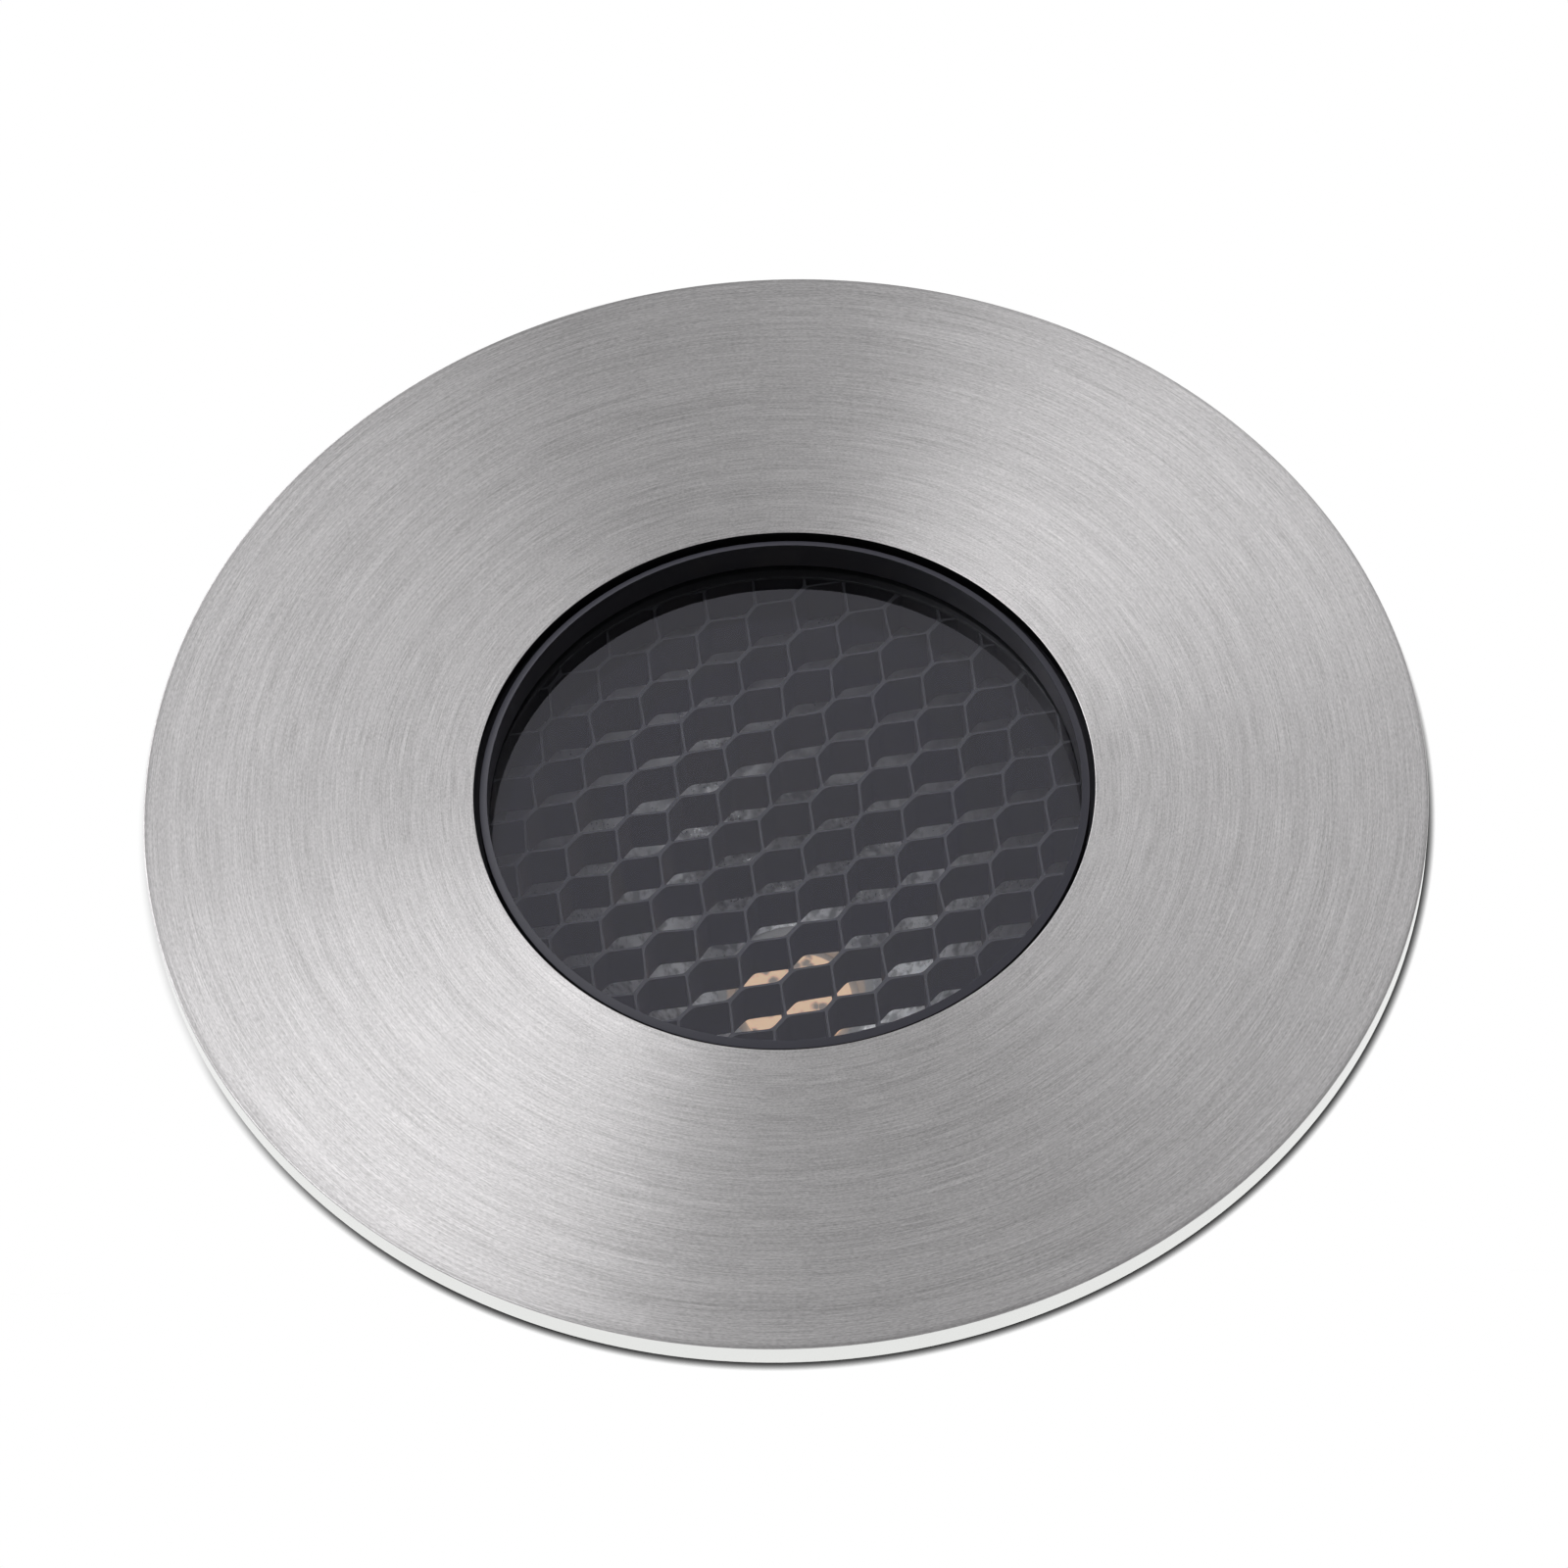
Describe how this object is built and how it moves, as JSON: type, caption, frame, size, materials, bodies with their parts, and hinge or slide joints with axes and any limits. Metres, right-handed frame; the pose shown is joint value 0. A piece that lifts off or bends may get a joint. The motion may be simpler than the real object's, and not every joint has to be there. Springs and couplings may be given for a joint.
{
  "type": "recessed spotlight",
  "caption": "Round recessed spotlight with a flat brushed steel bezel, a sunken glass, a honeycomb louver, a finned housing and sprung clips that grip a panel.",
  "frame": {"origin": "on the light's axis, in the plane where the bezel lies on the panel", "axes": "+Z is the way that the light shines, +X points to the right-hand clip, +Y completes the frame"},
  "size_m": [0.11, 0.11, 0.0864],
  "materials": {
    "bezel_steel": "brushed in circles round the axis",
    "plain_steel": "plain bright screws, nuts and pins",
    "clip_steel": "rolled sheet, satin",
    "spring_steel": "drawn wire",
    "black_collar": "satin black coating",
    "black_screws": "blackened",
    "louver_black": "matt black coating",
    "housing_black": "fine textured black powder coat on cast aluminium",
    "black_rubber": "matt",
    "lens_glass": "clear, toughened",
    "reflector_aluminium": "hammered, anodised bright",
    "bare_aluminium": "machined",
    "array_board": "white ceramic",
    "array_phosphor": "yellow silicone over the light source",
    "white_holder": "moulded",
    "thermal_grey": "soft pad",
    "lead_insulation": "silicone insulation",
    "green_board": "satin lacquer on glass fibre",
    "standoff_brass": "turned",
    "ferrite": "ferrite with a taped winding",
    "capacitor_sleeve": "shrunk sleeve",
    "choke_copper": "enamelled copper winding",
    "terminal_green": "moulded",
    "gland_plastic": "moulded"
  },
  "bodies": {
    "housing": {"bezel_ring": "bezel_steel", "bezel_studs": "plain_steel", "bezel_nuts": "plain_steel", "bezel_washers": "plain_steel", "bezel_gasket": "black_rubber", "glass_collar": "black_collar", "collar_screws": "black_screws", "glass_lens": "lens_glass", "glass_gasket": "black_rubber", "louver_hoop": "louver_black", "honeycomb_louver": "louver_black", "reflector": "reflector_aluminium", "led_board": "array_board", "led_phosphor": "array_phosphor", "led_holder": "white_holder", "led_holder_screws": "plain_steel", "thermal_pad": "thermal_grey", "heat_sink": "bare_aluminium", "heat_sink_screws": "plain_steel", "led_leads": "lead_insulation", "lead_grommet": "black_rubber", "housing_body": "housing_black", "driver_board": "green_board", "board_standoffs": "standoff_brass", "board_screws": "plain_steel", "driver_transformer": "ferrite", "driver_capacitors": "capacitor_sleeve", "driver_chokes": "choke_copper", "terminal_block": "terminal_green", "terminal_screws": "plain_steel", "rear_cover": "housing_black", "cover_seal": "black_rubber", "cover_screws": "plain_steel", "gland_body": "gland_plastic", "gland_washer": "black_rubber", "gland_insert": "black_rubber", "gland_nut": "gland_plastic", "clip_bracket_right": "clip_steel", "clip_bracket_left": "clip_steel", "bracket_screws": "plain_steel", "clip_pin_right": "plain_steel", "clip_pin_left": "plain_steel", "clip_spring_right": "spring_steel", "clip_spring_left": "spring_steel"},
    "clip_right": {"clip_arm_right": "clip_steel", "clip_tip_right": "black_rubber"},
    "clip_left": {"clip_arm_left": "clip_steel", "clip_tip_left": "black_rubber"}
  },
  "joints": [
    {"name": "clip_right_hinge", "type": "hinge", "parent": "housing", "child": "clip_right", "pos_m": [0.0368, 0, -0.0156], "axis": [0, 1, 0], "range_deg": [0, 90], "stiffness_Nm_per_rad": 0.03, "springref_deg": -143.24, "deforming": ["clip_spring_right"]},
    {"name": "clip_left_hinge", "type": "hinge", "parent": "housing", "child": "clip_left", "pos_m": [-0.0368, 0, -0.0156], "axis": [0, -1, 0], "range_deg": [0, 90], "stiffness_Nm_per_rad": 0.03, "springref_deg": -143.24, "deforming": ["clip_spring_left"]}
  ]
}
